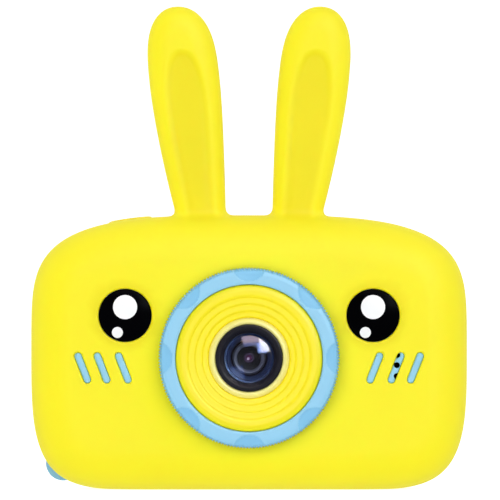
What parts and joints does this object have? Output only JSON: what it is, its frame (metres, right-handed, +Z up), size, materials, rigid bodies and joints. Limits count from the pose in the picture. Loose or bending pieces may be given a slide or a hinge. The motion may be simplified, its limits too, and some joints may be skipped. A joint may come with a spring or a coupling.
{
  "type": "children's digital camera",
  "caption": "Children's digital camera in a soft sleeve with two upright rabbit ears, a round lens in a ring, black eyes, a rear screen and push buttons.",
  "frame": {"origin": "on the flat base, at the middle of the object's whole width and depth", "axes": "+Z up towards the ear tips, -Y out of the lens, +Y out of the screen, +X towards the side with the sockets"},
  "size_m": [0.095, 0.042, 0.1053],
  "materials": {
    "yellow_silicone": "soft matte silicone rubber, self-coloured",
    "yellow_plastic": "moulded, satin gloss",
    "blue_plastic": "moulded, satin",
    "blue_rubber": "matte moulded rubber",
    "eye_black": "gloss black with printed white highlights",
    "lens_black": "moulded, satin black",
    "black_plastic": "moulded, matte",
    "lens_glass": "clear with a bluish coating",
    "screen_glass": "dark transparent acrylic with a printed border",
    "circuit_green": "green solder mask on glass-fibre board",
    "steel": "plated or bare pressed steel",
    "silver_foil": "aluminium laminate pouch",
    "ribbon_orange": "polyimide flexible circuit",
    "wire_red": "soft wire insulation",
    "led_white": "translucent white light pipe"
  },
  "bodies": {
    "camera": {"silicone_sleeve": "yellow_silicone", "front_shell": "blue_plastic", "rear_shell": "blue_plastic", "left_eye": "eye_black", "right_eye": "eye_black", "lens_ring": "blue_plastic", "lens_dish": "yellow_plastic", "lens_barrel": "lens_black", "front_lens": "lens_glass", "lens_retainer": "lens_black", "iris_plate": "black_plastic", "rear_lens": "lens_glass", "lens_holder": "black_plastic", "image_sensor": "black_plastic", "sensor_board": "circuit_green", "sensor_ribbon": "ribbon_orange", "sensor_screw_1": "steel", "sensor_screw_2": "steel", "main_board": "circuit_green", "processor_chip": "black_plastic", "flash_chip": "black_plastic", "battery": "silver_foil", "battery_lead": "wire_red", "speaker_lead": "black_plastic", "speaker": "black_plastic", "microphone": "steel", "usb_socket": "steel", "card_socket": "steel", "display_window": "screen_glass", "display_panel": "steel", "display_ribbon": "ribbon_orange", "charge_led": "led_white", "button_board": "circuit_green", "shutter_switch": "black_plastic", "power_switch": "black_plastic", "port_cover_strap": "blue_rubber", "up_switch": "black_plastic", "down_switch": "black_plastic", "left_switch": "black_plastic", "right_switch": "black_plastic", "ok_switch": "black_plastic", "menu_switch": "black_plastic", "case_screw_1": "steel", "case_screw_2": "steel", "case_screw_3": "steel", "case_screw_4": "steel", "board_screw_1": "steel", "board_screw_2": "steel", "board_screw_3": "steel"},
    "shutter_button": {"shutter_button": "yellow_plastic"},
    "power_button": {"power_button": "yellow_plastic"},
    "port_cover": {"port_cover": "blue_rubber"},
    "memory_card": {"memory_card": "black_plastic"},
    "up_button": {"up_button": "yellow_plastic"},
    "down_button": {"down_button": "yellow_plastic"},
    "left_button": {"left_button": "yellow_plastic"},
    "right_button": {"right_button": "yellow_plastic"},
    "ok_button": {"ok_button": "yellow_plastic"},
    "menu_button": {"menu_button": "yellow_plastic"}
  },
  "joints": [
    {"name": "shutter_press", "type": "slide", "parent": "camera", "child": "shutter_button", "axis": [0, 0, -1], "range_m": [0, 0.0007], "stiffness_N_per_m": 350},
    {"name": "power_press", "type": "slide", "parent": "camera", "child": "power_button", "axis": [0, 0, -1], "range_m": [0, 0.0006], "stiffness_N_per_m": 350},
    {"name": "up_press", "type": "slide", "parent": "camera", "child": "up_button", "axis": [0, -1, 0], "range_m": [0, 0.0005], "stiffness_N_per_m": 350},
    {"name": "down_press", "type": "slide", "parent": "camera", "child": "down_button", "axis": [0, -1, 0], "range_m": [0, 0.0005], "stiffness_N_per_m": 350},
    {"name": "left_press", "type": "slide", "parent": "camera", "child": "left_button", "axis": [0, -1, 0], "range_m": [0, 0.0005], "stiffness_N_per_m": 350},
    {"name": "right_press", "type": "slide", "parent": "camera", "child": "right_button", "axis": [0, -1, 0], "range_m": [0, 0.0005], "stiffness_N_per_m": 350},
    {"name": "ok_press", "type": "slide", "parent": "camera", "child": "ok_button", "axis": [0, -1, 0], "range_m": [0, 0.0005], "stiffness_N_per_m": 350},
    {"name": "menu_press", "type": "slide", "parent": "camera", "child": "menu_button", "axis": [0, -1, 0], "range_m": [0, 0.0005], "stiffness_N_per_m": 350},
    {"name": "port_cover_hinge", "type": "hinge", "parent": "camera", "child": "port_cover", "pos_m": [0.0464, 0.01, 0.0159], "axis": [0, 1, 0], "range_deg": [0, 110]},
    {"name": "memory_card_slide", "type": "slide", "parent": "camera", "child": "memory_card", "axis": [1, 0, 0], "range_m": [-0.0006, 0.0025]}
  ]
}
